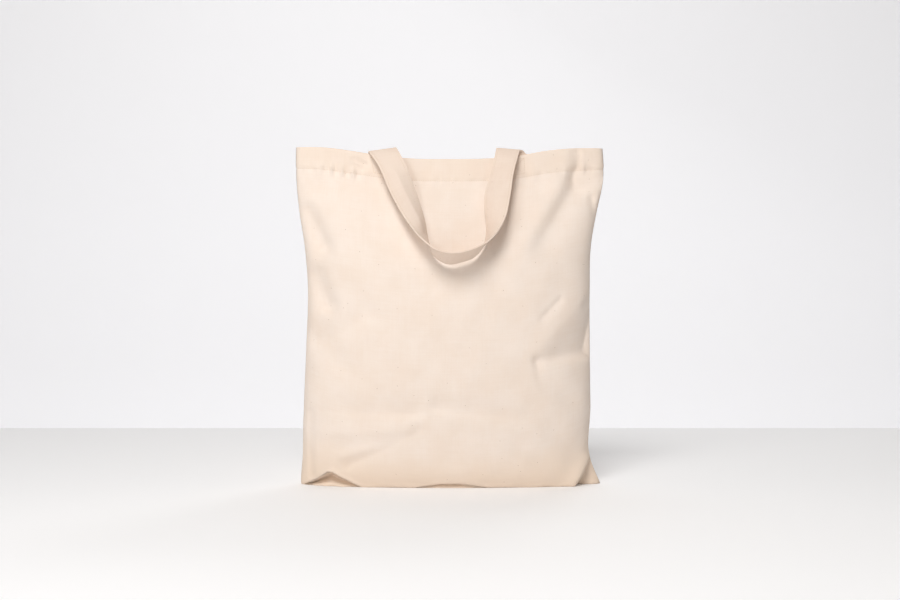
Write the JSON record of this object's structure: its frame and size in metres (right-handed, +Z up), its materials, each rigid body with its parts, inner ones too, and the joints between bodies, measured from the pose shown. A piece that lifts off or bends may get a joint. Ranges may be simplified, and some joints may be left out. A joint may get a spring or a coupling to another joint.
{
  "type": "canvas tote bag",
  "caption": "Plain natural canvas tote bag standing with its mouth slightly open, with a turned hem, sewn seams and strap handles folded outward over the rim.",
  "frame": {"origin": "middle of the base, on the floor", "axes": "+Z up, -Y to the front (the side the picture shows), +X to the right as seen from the front"},
  "size_m": [0.377, 0.1836, 0.411],
  "materials": {
    "canvas": "plain-woven natural cotton canvas",
    "strap": "folded and edge-stitched natural cotton canvas",
    "thread": "natural cotton sewing thread"
  },
  "bodies": {
    "bag": {"front_panel": "canvas", "rear_panel": "canvas", "front_hem_stitching": "thread", "rear_hem_stitching": "thread", "left_seam_overlock": "thread", "right_seam_overlock": "thread", "bottom_seam_overlock": "thread", "front_handle_left_end": "strap", "front_handle_right_end": "strap", "rear_handle_left_end": "strap", "rear_handle_right_end": "strap", "front_left_tack": "thread", "front_right_tack": "thread", "rear_left_tack": "thread", "rear_right_tack": "thread"},
    "front_handle": {"front_handle_loop": "strap", "front_handle_folds": "strap", "front_handle_stitching": "thread"},
    "rear_handle": {"rear_handle_loop": "strap", "rear_handle_folds": "strap", "rear_handle_stitching": "thread"}
  },
  "joints": [
    {"name": "front_handle_swing", "type": "hinge", "parent": "bag", "child": "front_handle", "pos_m": [0, -0.01482, 0.40637], "axis": [-1, 0, 0], "range_deg": [0, 150], "deforming": ["front_handle_folds"]},
    {"name": "rear_handle_swing", "type": "hinge", "parent": "bag", "child": "rear_handle", "pos_m": [0, 0.01482, 0.40637], "axis": [1, 0, 0], "range_deg": [0, 150], "deforming": ["rear_handle_folds"]}
  ]
}
